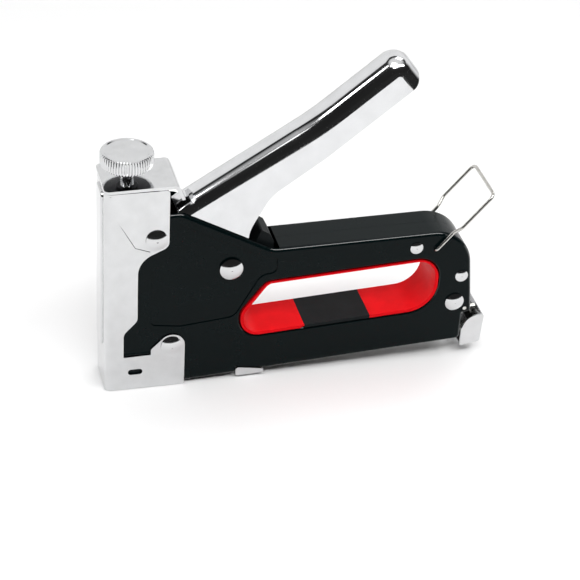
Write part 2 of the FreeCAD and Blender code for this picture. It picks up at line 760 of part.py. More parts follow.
tip_x, tip_z = s.lever_tip_along, s.lever_tip_height
px, pz = s.pivot_along, s.pivot_height
half_depth = s.lever_depth / 2
blank_round = s.lever_edge + 1
tip_top = (tip_x + half_depth * 0.172, tip_z + half_depth * 1.404, half_depth * 0.99)
LEVER_BLANK = [
    (s.lever_front - 12.0, s.lever_front_height - 7.5, blank_round),
    (px - 34.0, pz - 24.0, blank_round),
    (px + 26.0, pz - 24.0, blank_round),
    (px + 34.0, pz + 22.0, blank_round),
    (tip_x + half_depth * 1.404 + 8.6, tip_z - half_depth * 0.172 - 11.0, blank_round),
    tip_top,
    (px + 36.7, pz + 71.0, 150),
]
LEVER_CHEEKS = [
    (s.lever_front - 5.9, s.lever_front_height + 15.0, 0),
    (s.lever_front + 3.6, s.lever_front_height - 9.2, 3.0),
    (px - 10.6, pz + 3.0, 8),
    (px - 8.8, pz - 10.0, 8.0),
    (px + 9.6, pz - 8.2, 8.0),
    (px + 7.6, pz + 17.0, 18),
    (px + 17.5, pz + 35.6, 22),
    (px + 42.0, pz + 53.0, 60),
    (tip_x + half_depth * 1.404 + 0.4, tip_z - half_depth * 0.172 + 0.3, half_depth * 0.9),
    (tip_x - 6.0, tip_z + 30.0, 0),
    (s.lever_front, tip_z + 30.0, 0),
]
AROUND = [(-100, -100, 0), (300, -100, 0), (300, 300, 0), (-100, 300, 0)]


def lever_hollow(wall):
    """The inside of the lever in side view: open below and in front, wall thick at the top and the tip."""
    roof = wall * 1.2
    inner_half = half_depth - wall
    return [
        (s.lever_front - 14.0, s.lever_front_height - 8.8 - roof, 0),
        (s.lever_front - 14.0, pz - 20.0, 0),
        (px + 30.0, pz - 20.0, 0),
        (px + 60.0, pz + 30.0, 0),
        (tip_x + inner_half * 1.404 + 6.2, tip_z - inner_half * 0.172 - 7.9, 0),
        (tip_x + inner_half * 0.172, tip_z + inner_half * 1.404, 2.0),
        (px + 37.2, pz + 71.0 - roof, 150),
    ]


outer_side = SIZES["lever_half_width"]
lever = plate("lever", [LEVER_BLANK], s.lever_half_width)
round_edges(lever, s.lever_edge, lambda edge: abs(edge.CenterOfMass.y) > outer_side - 1e-6)
cut_side(lever, [AROUND, LEVER_CHEEKS], s.lever_half_width + 2)
cut_side(lever, [lever_hollow(s.lever_edge)], s.lever_half_width - s.lever_sheet)
cut_side(lever, [lever_hollow(s.lever_sheet + s.lever_edge * 0.12)],
         s.lever_half_width - s.lever_edge * 0.72)
lift_x, lift_z = px - 4.2, pz + 6.4
pin_holes = [(px, pz, s.pin + s.running), (lift_x, lift_z, s.lift_rivet + 0.05)]
cut_side(lever, pin_holes, s.lever_half_width + 2)
keep("lever_channel", lever)

lifter_x = px - s.lifter_reach * 0.978
lifter_z = pz - s.lifter_drop
LIFTER = [
    (lifter_x - s.lifter_tip, lifter_z + s.lifter_tip, s.lifter_tip * 0.98),
    (lifter_x - s.lifter_tip, lifter_z - s.lifter_tip, s.lifter_tip * 0.98),
    (px - 12, pz - 11.5, 14),
    (px + 7.2, pz - 8.4, 7.2),
    (px + 7.2, pz + 9.0, 7.2),
    (px - 7.6, pz + 11.6, 5),
]
lifter = plate("lifter", [LIFTER], s.lifter_half_width)
cut_side(lifter, pin_holes, s.lifter_half_width + 2)
keep("lifter_arm", lifter)


# ---- pins, rivets and washers -------------------------------------------------------------------

def button(name, x, z, face, radius, height):
    """A domed head outside a face at y = face, on both sides."""
    face, radius, height = dim(face), dim(radius), dim(height)
    edge = height * 0.3
    rise = height - edge
    ball = (radius * radius + rise * rise) / (rise * 2)
    for side in (-1, 1):
        low, high = (face, face + edge) if side > 0 else (-(face + edge), -face)
        rim = crosswise(f"{name}_rim", x, z, low, high, radius)
        crown = doc.addObject("Part::Sphere", f"{name}_crown")
        bind(crown, "Radius", ball)
        crown.setExpression("Angle1", f"asin(1 - {rise.text} / {ball.text})")
        place(crown, x, side * (face + edge - ball + rise), z, V(1, 0, 0), -90 * side)
        yield rim, crown


def rivet(name, x, z, radius, face, head, height, inner=0.0):
    """A headed pin across the gun, or a pair of stubs where inner is the half gap left between them."""
    sides = list(button(name, x, z, face, head, height))
    if dim(inner).value:
        return [fuse(f"{name}_{i}", crosswise(f"{name}_stub", x, z, *span, radius), *parts)
                for i, (span, parts) in enumerate(zip(((-face, -inner), (inner, face)), sides))]
    return [fuse(f"{name}_pin", crosswise(f"{name}_shank", x, z, -face, face, radius), *sides[0], *sides[1])]


cover_face = s.cover_half_width + 0.05
shell_face = s.shell_half_width + 0.05
upper_x, upper_z = RIVET_PLACES["upper_nose"]
lower_x, lower_z = RIVET_PLACES["lower_nose"]
stub_end = s.shell_half_width - 1.9
nose_rivets = rivet("upper_nose", upper_x, upper_z, shank, cover_face, s.nose_rivet, s.dome, stub_end)
nose_rivets += rivet("lower_nose", lower_x, lower_z, shank, cover_face, s.nose_rivet, s.dome)
keep("nose_rivets", group("nose_rivets", nose_rivets))
keep("rear_rivet", rivet("rear", *RIVET_PLACES["rear"], shank, shell_face, s.rear_rivet, s.dome)[0])
flats = [rivet(name, *RIVET_PLACES[name], shank, shell_face, s.flat_rivet, 0.9)[0]
         for name in ("grip", "upper_rear")]
keep("flat_rivets", group("flat_rivets", flats))
stop_x, stop_z = RIVET_PLACES["latch_stop"]
stop_pin_end = shell_face + 0.2
keep("stop_pin", crosswise("stop_pin", stop_x, stop_z, -stop_pin_end, stop_pin_end, small_pin))
keep("pivot_pin", rivet("pivot", px, pz, s.pin, shell_face, s.pivot_head, s.dome * 1.1)[0])
lift_end = s.lever_half_width + 0.4
keep("lift_rivet", crosswise("lift_rivet", lift_x, lift_z, -lift_end, lift_end, s.lift_rivet))
washer_in = s.lever_half_width + 0.1
washer_out = s.shell_half_width - s.shell_sheet - 0.1
washers = []
for side, span in ((-1, (-washer_out, -washer_in)), (1, (washer_in, washer_out))):
    washer_disc = crosswise("washer_disc", px, pz, *span, s.pin + 2.2)
    washer_hole = crosswise("washer_hole", px, pz, -30, 30, s.pin + 0.1)
    washers.append(cut(f"washer_{'near' if side < 0 else 'far'}", washer_disc, washer_hole))
keep("pivot_washers", group("pivot_washers", washers))


# ---- lever stop and return spring ---------------------------------------------------------------

stop_low = ceiling(diagonal) + s.shell_sheet + 0.3
STOP = [
    (px + 10.4, stop_low, 1),
    (px + 20.4, stop_low, 1),
    (px + 20.4, pz + 10.5, 1),
    (px + 18.4, pz + 14.4, 0.8),
    (px + 14.4, pz + 17.0, 0.8),
    (px + 10.4, pz + 7.0, 2),
]
keep("lever_stop", plate("lever_stop", [STOP], s.lever_half_width - s.lever_sheet - 0.5))
return_wire = dim(0.5)
return_mean = s.pin + 1.2
return_low = s.lifter_half_width + 0.4 + return_wire
return_high = s.lever_half_width - s.lever_sheet - 0.4 - return_wire
springs = []
for side, label in ((-1, "near"), (1, "far")):
    turn = coil(f"return_coil_{label}", return_mean, return_wire, return_high - return_low, 1.15)
    place(turn, px, side * return_low, pz, V(1, 0, 0), -90 * side)
    springs.append(turn)
keep("return_springs", group("return_springs", springs))


# ---- bail ---------------------------------------------------------------------------------------

leg = s.shell_half_width + s.bail_wire + 0.35
BAIL = [
    (0, -(s.shell_half_width - 1.7), 0),
    (0, -leg, 1.2),
    (s.bail_length * 0.31, -leg, 2.5),
    (s.bail_length * 0.44, -s.bail_half_width, 2.5),
    (s.bail_length, -s.bail_half_width, 3.0),
    (s.bail_length, s.bail_half_width, 3.0),
    (s.bail_length * 0.44, s.bail_half_width, 2.5),
    (s.bail_length * 0.31, leg, 2.5),
    (0, leg, 1.2),
    (0, s.shell_half_width - 1.7, 0),
]
bail_path = doc.addObject("Sketcher::SketchObject", "bail_path")
outline(bail_path, BAIL, closed=False)
bail_section = doc.addObject("Part::Circle", "bail_section")
bind(bail_section, "Radius", s.bail_wire)
place(bail_section, 0, -(s.shell_half_width - 1.7), 0, V(1, 0, 0), 90)
bail = doc.addObject("Part::Sweep", "bail")
bail.Sections = [bail_section]
bail.Spine = (bail_path, [])
bail.Solid = True
place(bail, s.bail_along, 0, s.bail_height, V(0, -1, 0), SIZES["bail_lean"])
bail.setExpression("Placement.Rotation.Angle", "Sizes.bail_lean * 1 deg")
keep("wire_bail", bail)


# ---- checks and files ---------------------------------------------------------------------------

doc.recompute()
faults = [thing.Name for thing in doc.Objects if {"Invalid", "Error"} & set(thing.State)]
faults += [thing.Label for thing in NODES if thing.Shape.isNull() or not thing.Shape.isValid()]
if faults:
    raise RuntimeError("did not build: " + ", ".join(faults))
os.makedirs("parts", exist_ok=True)
for thing in NODES:
    thing.Shape.exportStep(f"parts/{thing.Label}.step")
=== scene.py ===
"""Looks of the hand staple gun: finishes for every solid, and finer pieces where the solids are plain."""
import json
import logging
import math
from dataclasses import dataclass, field
from enum import Enum

import bmesh
import bpy
from mathutils import Matrix, Vector


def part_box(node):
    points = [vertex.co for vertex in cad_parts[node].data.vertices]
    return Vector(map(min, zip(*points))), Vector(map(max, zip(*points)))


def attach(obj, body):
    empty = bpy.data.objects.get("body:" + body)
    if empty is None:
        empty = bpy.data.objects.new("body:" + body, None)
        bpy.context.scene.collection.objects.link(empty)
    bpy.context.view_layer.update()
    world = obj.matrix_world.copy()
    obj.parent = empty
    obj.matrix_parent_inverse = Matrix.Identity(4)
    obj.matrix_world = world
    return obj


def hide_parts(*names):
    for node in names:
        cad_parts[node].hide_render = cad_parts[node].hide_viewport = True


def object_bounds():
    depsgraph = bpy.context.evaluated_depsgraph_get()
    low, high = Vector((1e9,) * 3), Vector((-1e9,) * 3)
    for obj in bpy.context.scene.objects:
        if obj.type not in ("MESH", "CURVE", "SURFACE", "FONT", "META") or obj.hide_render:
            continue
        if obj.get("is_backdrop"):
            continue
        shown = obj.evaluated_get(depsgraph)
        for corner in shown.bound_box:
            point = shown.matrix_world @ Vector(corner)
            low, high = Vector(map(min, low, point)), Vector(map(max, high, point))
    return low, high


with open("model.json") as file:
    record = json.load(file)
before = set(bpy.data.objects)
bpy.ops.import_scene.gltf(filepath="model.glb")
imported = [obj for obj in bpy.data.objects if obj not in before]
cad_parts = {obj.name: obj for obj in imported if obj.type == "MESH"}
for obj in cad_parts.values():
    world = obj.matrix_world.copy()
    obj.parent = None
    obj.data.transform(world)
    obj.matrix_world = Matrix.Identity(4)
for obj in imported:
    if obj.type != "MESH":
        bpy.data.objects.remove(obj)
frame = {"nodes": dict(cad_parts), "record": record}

MM = 0.001
log = logging.getLogger("staple_gun")


class Slot(Enum):
    """The record's material slots."""

    BLACK_PAINT = "black_paint"
    BRIGHT_CHROME = "bright_chrome"
    LEVER_CHROME = "lever_chrome"
    DARK_STEEL_AND_SHADE = "dark_steel"
    SPRING_STEEL = "spring_steel"
    RED_PAD = "red_pad"
    BLACK_PAD = "black_pad"
    BLACK_RUBBER = "black_rubber"


# ---- shared effects ------------------------------------------------------------------------------------


@dataclass
class Effect:
    """A shader node group with named inputs and outputs, built once."""

    name: str
    tree: bpy.types.NodeTree = field(init=False)

    def __post_init__(self) -> None:
        """Make the empty group."""
        self.tree = bpy.data.node_groups.new(self.name, "ShaderNodeTree")

    def add_input(self, name: str, default: float) -> None:
        """Add a number input with its default."""
        socket = self.tree.interface.new_socket(name, in_out="INPUT", socket_type="NodeSocketFloat")
        socket.default_value = default

    def add_output(self, name: str) -> None:
        """Add a number output."""
        self.tree.interface.new_socket(name, in_out="OUTPUT", socket_type="NodeSocketFloat")

    def node(self, kind: str, **values: object) -> bpy.types.Node:
        """Add a node to the group.

        Args:
            kind: The node's type name.
            values: Attributes to set on it.

        Returns:
            The new node.
        """
        made = self.tree.nodes.new(kind)
        for key, value in values.items():
            setattr(made, key, value)
        return made

    def noise(self, detail: float) -> bpy.types.Node:
        """Add a noise texture.

        Args:
            detail: How many finer layers it holds.

        Returns:
            The texture node.
        """
        texture = self.node("ShaderNodeTexNoise")
        texture.inputs["Detail"].default_value = detail
        return texture

    def spread(self, low: float, high: float, **values: object) -> bpy.types.Node:
        """Add a range node that rises from one input value to another.

        Args:
            low: The input value where it starts to rise.
            high: The input value where it is fully up.
            values: Attributes to set on it.

        Returns:
            The range node.
        """
        made = self.node("ShaderNodeMapRange", **values)
        made.inputs["From Min"].default_value = low
        made.inputs["From Max"].default_value = high
        return made

    def link(self, source: bpy.types.NodeSocket, target: bpy.types.NodeSocket) -> None:
        """Join two sockets."""
        self.tree.links.new(source, target)

    def ends(self) -> tuple[bpy.types.Node, bpy.types.Node]:
        """The group's input and output nodes, made after its sockets."""
        return self.node("NodeGroupInput"), self.node("NodeGroupOutput")


def make_mottle() -> bpy.types.NodeTree:
    """Broad, soft patches that vary a finish slightly over a piece.

    Returns:
        A group with inputs Scale, Low and High, and output Value between Low and High.
    """
    effect = Effect("handled_mottle")
    effect.add_input("Scale", 60.0)
    effect.add_input("Low", 0.2)
    effect.add_input("High", 0.3)
    effect.add_output("Value")
    start, end = effect.ends()
    place = effect.node("ShaderNodeTexCoord")
    noise = effect.noise(detail=5.0)
    spread = effect.spread(0.3, 0.7)
    effect.link(place.outputs["Object"], noise.inputs["Vector"])
    effect.link(start.outputs["Scale"], noise.inputs["Scale"])
    effect.link(noise.outputs["Fac"], spread.inputs["Value"])
    effect.link(start.outputs["Low"], spread.inputs["To Min"])
    effect.link(start.outputs["High"], spread.inputs["To Max"])
    effect.link(spread.outputs["Result"], end.inputs["Value"])
    return effect.tree


def make_grain() -> bpy.types.NodeTree:
    """Fine straight scratches, as polishing leaves, along one direction of the gun.

    Returns:
        A group with inputs Along, Across and Tilt, and output Height.
    """
    effect = Effect("polishing_grain")
    effect.add_input("Along", 20.0)
    effect.add_input("Across", 1800.0)
    effect.add_input("Tilt", 0.0)
    effect.add_output("Height")
    start, end = effect.ends()
    place = effect.node("ShaderNodeTexCoord")
    turn = effect.node("ShaderNodeVectorRotate", rotation_type="Y_AXIS")
    stretch = effect.node("ShaderNodeCombineXYZ")
    scaled = effect.node("ShaderNodeVectorMath", operation="MULTIPLY")
    noise = effect.noise(detail=3.0)
    noise.inputs["Scale"].default_value = 1.0
    effect.link(place.outputs["Object"], turn.inputs["Vector"])
    effect.link(start.outputs["Tilt"], turn.inputs["Angle"])
    effect.link(turn.outputs["Vector"], scaled.inputs[0])
    effect.link(start.outputs["Along"], stretch.inputs["X"])
    effect.link(start.outputs["Across"], stretch.inputs["Y"])
    effect.link(start.outputs["Across"], stretch.inputs["Z"])
    effect.link(stretch.outputs["Vector"], scaled.inputs[1])
    effect.link(scaled.outputs["Vector"], noise.inputs["Vector"])
    effect.link(noise.outputs["Fac"], end.inputs["Height"])
    return effect.tree


def make_ripple() -> bpy.types.NodeTree:
    """The slight ripple of stoved paint and moulded skins.

    Returns:
        A group with input Scale and output Height.
    """
    effect = Effect("surface_ripple")
    effect.add_input("Scale", 500.0)
    effect.add_output("Height")
    start, end = effect.ends()
    place = effect.node("ShaderNodeTexCoord")
    noise = effect.noise(detail=2.0)
    effect.link(place.outputs["Object"], noise.inputs["Vector"])
    effect.link(start.outputs["Scale"], noise.inputs["Scale"])
    effect.link(noise.outputs["Fac"], end.inputs["Height"])
    return effect.tree


def make_edge_gloss() -> bpy.types.NodeTree:
    """Where a clear coat shows: on the rounding between a flank and the faces beside it.

    The sideways part of the surface direction is folded back at its peak, so that both a flat flank and
    a top face fall outside the band that the range node keeps.

    Returns:
        A group with input Amount and output Mask.
    """
    effect = Effect("edge_gloss")
    effect.add_input("Amount", 1.0)
    effect.add_output("Mask")
    start, end = effect.ends()
    place = effect.node("ShaderNodeTexCoord")
    parts = effect.node("ShaderNodeSeparateXYZ")
    lean = effect.node("ShaderNodeMath", operation="ABSOLUTE")
    slant = effect.node("ShaderNodeMath", operation="PINGPONG")
    slant.inputs[1].default_value = 0.72
    spread = effect.spread(0.47, 0.64, interpolation_type="SMOOTHSTEP")
    effect.link(place.outputs["Normal"], parts.inputs["Vector"])
    effect.link(parts.outputs["Y"], lean.inputs[0])
    effect.link(lean.outputs["Value"], slant.inputs[0])
    effect.link(slant.outputs["Value"], spread.inputs["Value"])
    effect.link(start.outputs["Amount"], spread.inputs["To Max"])
    effect.link(spread.outputs["Result"], end.inputs["Mask"])
    return effect.tree


@dataclass
class Effects:
    """The node groups that the finishes share."""

    mottle: bpy.types.NodeTree = field(default_factory=make_mottle)
    grain: bpy.types.NodeTree = field(default_factory=make_grain)
    ripple: bpy.types.NodeTree = field(default_factory=make_ripple)
    edge: bpy.types.NodeTree = field(default_factory=make_edge_gloss)


# ---- finishes ------------------------------------------------------------------------------------------


def place_group(tree: bpy.types.NodeTree, group: bpy.types.NodeTree, **values: float) -> bpy.types.Node:
    """Put a shared effect into a material.

    Args:
        tree: The material's node tree.
        group: The shared effect.
        values: The effect's input values, by input name.

    Returns:
        The group node.
    """
    placed = tree.nodes.new("ShaderNodeGroup")
    placed.node_tree = group
    for name, value in values.items():
        placed.inputs[name].default_value = value
    return placed


@dataclass(frozen=True)
class Finish:
    """A finish: its colour, how it varies, and how it shines.

    The colour drifts towards its own darker shade in patches finer than the roughness patches.
    """

    slot: Slot
    colour: tuple[float, float, float]
    shade: float
    metallic: float
    roughness: tuple[float, float]
    mottle_scale: float = 60.0
    colour_fineness: float = 2.3
    edge_coat: float = 0.0
    coat_roughness: float = 0.06
    grain_height: float = 0.0
    grain_tilt: float = 0.0
    ripple_scale: float = 500.0
    ripple_height: float = 0.0
    specular: float = 0.5

    def material(self, effects: Effects) -> bpy.types.Material:
        """Build the material.

        Args:
            effects: The shared node groups.

        Returns:
            A material named for the slot.
        """
        made = bpy.data.materials.new(self.slot.value)
        made.use_nodes = True
        tree = made.node_tree
        tree.nodes.clear()
        output = tree.nodes.new("ShaderNodeOutputMaterial")
        surface = tree.nodes.new("ShaderNodeBsdfPrincipled")
        surface.inputs["Metallic"].default_value = self.metallic
        surface.inputs["Coat Roughness"].default_value = self.coat_roughness
        surface.inputs["Specular IOR Level"].default_value = self.specular
        tree.links.new(surface.outputs["BSDF"], output.inputs["Surface"])
        self._vary_roughness(tree, effects, surface)
        self._vary_colour(tree, effects, surface)
        self._raise_surface(tree, effects, surface)
        self._gloss_edges(tree, effects, surface)
        return made

    def _vary_roughness(self, tree: bpy.types.NodeTree, effects: Effects, surface: bpy.types.Node) -> None:
        """Let the gloss drift between the two roughness values."""
        low, high = self.roughness
        patches = place_group(tree, effects.mottle, Scale=self.mottle_scale, Low=low, High=high)
        tree.links.new(patches.outputs["Value"], surface.inputs["Roughness"])

    def _vary_colour(self, tree: bpy.types.NodeTree, effects: Effects, surface: bpy.types.Node) -> None:
        """Mix the colour with a darker shade of itself in soft patches."""
        scale = self.mottle_scale * self.colour_fineness
        patches = place_group(tree, effects.mottle, Scale=scale, Low=0.0, High=1.0)
        mix = tree.nodes.new("ShaderNodeMix")
        mix.data_type = "RGBA"
        mix.inputs["A"].default_value = (*self.colour, 1.0)
        mix.inputs["B"].default_value = (*(part * self.shade for part in self.colour), 1.0)
        tree.links.new(patches.outputs["Value"], mix.inputs["Factor"])
        tree.links.new(mix.outputs["Result"], surface.inputs["Base Color"])

    def _raise_surface(self, tree: bpy.types.NodeTree, effects: Effects, surface: bpy.types.Node) -> None:
        """Add the polishing grain or the ripple of paint as fine relief."""
        if self.grain_height > 0.0:
            source = place_group(tree, effects.grain, Tilt=self.grain_tilt)
        elif self.ripple_height > 0.0:
            source = place_group(tree, effects.ripple, Scale=self.ripple_scale)
        else:
            return
        bump = tree.nodes.new("ShaderNodeBump")
        bump.inputs["Strength"].default_value = 1.0
        bump.inputs["Distance"].default_value = self.grain_height or self.ripple_height
        tree.links.new(source.outputs["Height"], bump.inputs["Height"])
        tree.links.new(bump.outputs["Normal"], surface.inputs["Normal"])

    def _gloss_edges(self, tree: bpy.types.NodeTree, effects: Effects, surface: bpy.types.Node) -> None:
        """Let a clear coat show on the rounded edges alone."""
        if self.edge_coat > 0.0:
            edges = place_group(tree, effects.edge, Amount=self.edge_coat)
            tree.links.new(edges.outputs["Mask"], surface.inputs["Coat Weight"])


FINISHES = (
    Finish(Slot.BLACK_PAINT, (0.0008, 0.0045, 0.005), 0.8, 0.0, (0.20, 0.28), 40.0, edge_coat=1.0,
           ripple_scale=420.0, ripple_height=0.000012, specular=0.10),
    Finish(Slot.BRIGHT_CHROME, (0.66, 0.665, 0.672), 0.92, 1.0, (0.06, 0.13), 70.0,
           grain_height=0.0000009, grain_tilt=math.pi / 2),
    Finish(Slot.LEVER_CHROME, (0.71, 0.715, 0.725), 0.92, 1.0, (0.07, 0.12), 50.0,
           grain_height=0.0000014, grain_tilt=math.radians(34)),
    # Near-black metal: blackened steel, and painted shade as well, for it darkens the nut's side seen in the
    # gap under the nose's top cap.
    Finish(Slot.DARK_STEEL_AND_SHADE, (0.045, 0.045, 0.048), 0.75, 1.0, (0.28, 0.42), 90.0, grain_height=0.000003),
    Finish(Slot.SPRING_STEEL, (0.62, 0.61, 0.58), 0.85, 1.0, (0.18, 0.28), 120.0, grain_height=0.0000012),
    Finish(Slot.RED_PAD, (0.82, 0.003, 0.008), 0.85, 0.0, (0.32, 0.42), 50.0,
           ripple_scale=900.0, ripple_height=0.00002, specular=0.05),
    Finish(Slot.BLACK_PAD, (0.010, 0.0125, 0.0135), 0.7, 0.0, (0.35, 0.5), 60.0,
           ripple_scale=1200.0, ripple_height=0.00002, specular=0.07),
    Finish(Slot.BLACK_RUBBER, (0.02, 0.02, 0.02), 0.7, 0.0, (0.6, 0.75), 60.0,
           ripple_scale=1500.0, ripple_height=0.00003),
)


# ---- mesh helpers --------------------------------------------------------------------------------------


def ring_surface(name: str, rings: list[list[Vector]]) -> bpy.types.Object:
    """Skin a stack of closed rings that all have the same number of points, and close both ends.

    Args:
        name: The piece's name.
        rings: The rings in order, each a list of points.

    Returns:
        The new object, linked to the scene.
    """
    mesh = bpy.data.meshes.new(name)
    shell = bmesh.new()
    rows = [[shell.verts.new(point) for point in ring] for ring in rings]
    count = len(rings[0])
    for low, high in zip(rows, rows[1:]):
        for i in range(count):
            j = (i + 1) % count
            shell.faces.new((low[i], low[j], high[j], high[i]))
    shell.faces.new(rows[0][::-1])
    shell.faces.new(rows[-1])
    bmesh.ops.recalc_face_normals(shell, faces=shell.faces)
    shell.to_mesh(mesh)
    shell.free()
    made = bpy.data.objects.new(name, mesh)
    bpy.context.scene.collection.objects.link(made)
    return made


def smooth_by_angle(thing: bpy.types.Object, degrees: float) -> None:
    """Shade a mesh smooth, except over edges sharper than an angle.

    Args:
        thing: The piece.
        degrees: The angle from which an edge stays sharp.
    """
    thing.data.polygons.foreach_set("use_smooth", [True] * len(thing.data.polygons))
    thing.data.set_sharp_from_angle(angle=math.radians(degrees))


def dress(thing: bpy.types.Object, material: bpy.types.Material) -> None:
    """Give a piece one material in place of any it has.

    Args:
        thing: The piece.
        material: Its new material.
    """
    thing.data.materials.clear()
    thing.data.materials.append(material)


# ---- the tension knob ----------------------------------------------------------------------------------


@dataclass
class TensionKnob:
    """The knurled knob over the nose, with its threaded screw."""

    materials: dict[str, bpy.types.Material]
    ridges: int = 56
    ridge_points: int = 8
    ridge_depth: float = 0.55 * MM
    ridge_fullness: float = 0.7
    edge: float = 0.9 * MM
    dish: float = 0.35 * MM
    thread_pitch: float = 1.0 * MM
    thread_depth: float = 0.55 * MM
    screw_radius: float = 3.0 * MM
    neck_radius: float = 5.0 * MM
    neck_height: float = 1.5 * MM
    thickness: float = 7.0 * MM
    underside_points: int = 2
    screw_points: int = 32
    screw_rows: int = 6
    head_smooth: float = 28.0
    screw_smooth: float = 40.0

    def __post_init__(self) -> None:
        """Read the knob's place and size from its solid."""
        low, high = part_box("tension_knob")
        self.centre = Vector(((low.x + high.x) / 2, (low.y + high.y) / 2, 0.0))
        self.radius = (high.x - low.x) / 2
        self.top = high.z
        self.bottom = high.z - self.thickness
        self.screw_bottom = low.z

    def ring(self, radius: float, height: float, share: float, count: int) -> list[Vector]:
        """One ring of the knob.

        Args:
            radius: Its outer radius.
            height: Its height above the ground.
            share: How far the ridges are cut in, as a share of their full depth.
            count: How many points it has.

        Returns:
            The ring's points.
        """
        points = []
        for i in range(count):
            angle = math.tau * i / count
            wave = (0.5 - 0.5 * math.cos(angle * self.ridges)) ** self.ridge_fullness
            here = radius - self.ridge_depth * share * wave
            points.append(self.centre + Vector((here * math.cos(angle), here * math.sin(angle), height)))
        return points

    def head(self) -> bpy.types.Object:
        """Build the knurled head with its shallow dished top."""
        count = self.ridges * self.ridge_points
        r, e = self.radius, self.edge
        profile = [
            (r - e * 2.0, self.bottom + e * 0.1, 0.0),
            (r - e * 0.7, self.bottom + e * 0.2, 0.0),
            (r, self.bottom + e, 1.0),
            (r, self.top - e, 1.0),
            (r - e * 0.35, self.top - e * 0.35, 0.3),
            (r - e, self.top, 0.0),
            (r - e * 1.8, self.top, 0.0),
            (r - e * 2.4, self.top - self.dish, 0.0),
            (r * 0.4, self.top - self.dish * 1.2, 0.0),
            (r * 0.02, self.top - self.dish * 1.2, 0.0),
        ]
        head = ring_surface("knurled_knob", [self.ring(*step, count) for step in profile])
        smooth_by_angle(head, self.head_smooth)
        return head

    def underside(self) -> bpy.types.Object:
        """Build the underside of the head with its neck, dark as painted shade under the knob."""
        count = self.ridges * self.underside_points
        r, e = self.radius, self.edge
        profile = [
            (self.neck_radius * 0.5, self.bottom - self.neck_height, 0.0),
            (self.neck_radius * 0.92, self.bottom - self.neck_height, 0.0),
            (self.neck_radius, self.bottom - self.neck_height * 0.85, 0.0),
            (self.neck_radius, self.bottom, 0.0),
            (r - e * 1.9, self.bottom, 0.0),
            (r - e * 1.6, self.bottom + e * 0.12, 0.0),
        ]
        underside = ring_surface("knob_underside_shade", [self.ring(*step, count) for step in profile])
        smooth_by_angle(underside, self.head_smooth)
        return underside

    def screw(self) -> bpy.types.Object:
        """Build the threaded screw below the head."""
        length = self.bottom - self.neck_height - self.screw_bottom
        rows = int(length / self.thread_pitch * self.screw_rows) + 1
        rings = []
        for row in range(rows + 1):
            height = self.screw_bottom + length * row / rows
            points = []
            for i in range(self.screw_points):
                turn = i / self.screw_points
                phase = ((height - self.screw_bottom) / self.thread_pitch - turn) % 1.0
                radius = self.screw_radius - self.thread_depth * abs(2 * phase - 1)
                angle = math.tau * turn
                spot = Vector((radius * math.cos(angle), radius * math.sin(angle), height))
                points.append(self.centre + spot)
            rings.append(points)
        screw = ring_surface("knob_screw", rings)
        smooth_by_angle(screw, self.screw_smooth)
        return screw

    def build(self) -> list[bpy.types.Object]:
        """Build, dress and mount the knob.

        Returns:
            The head, the screw and the underside.
        """
        made = [self.head(), self.screw(), self.underside()]
        # The underside takes the near-black steel as painted shade under the head.
        slots = (Slot.BRIGHT_CHROME, Slot.BRIGHT_CHROME, Slot.DARK_STEEL_AND_SHADE)
        for piece, slot in zip(made, slots):
            dress(piece, self.materials[slot.value])
            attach(piece, "knob")
        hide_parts("tension_knob")
        return made


# ---- small pressed details -----------------------------------------------------------------------------


SIDES = {-1: "near", 1: "far"}


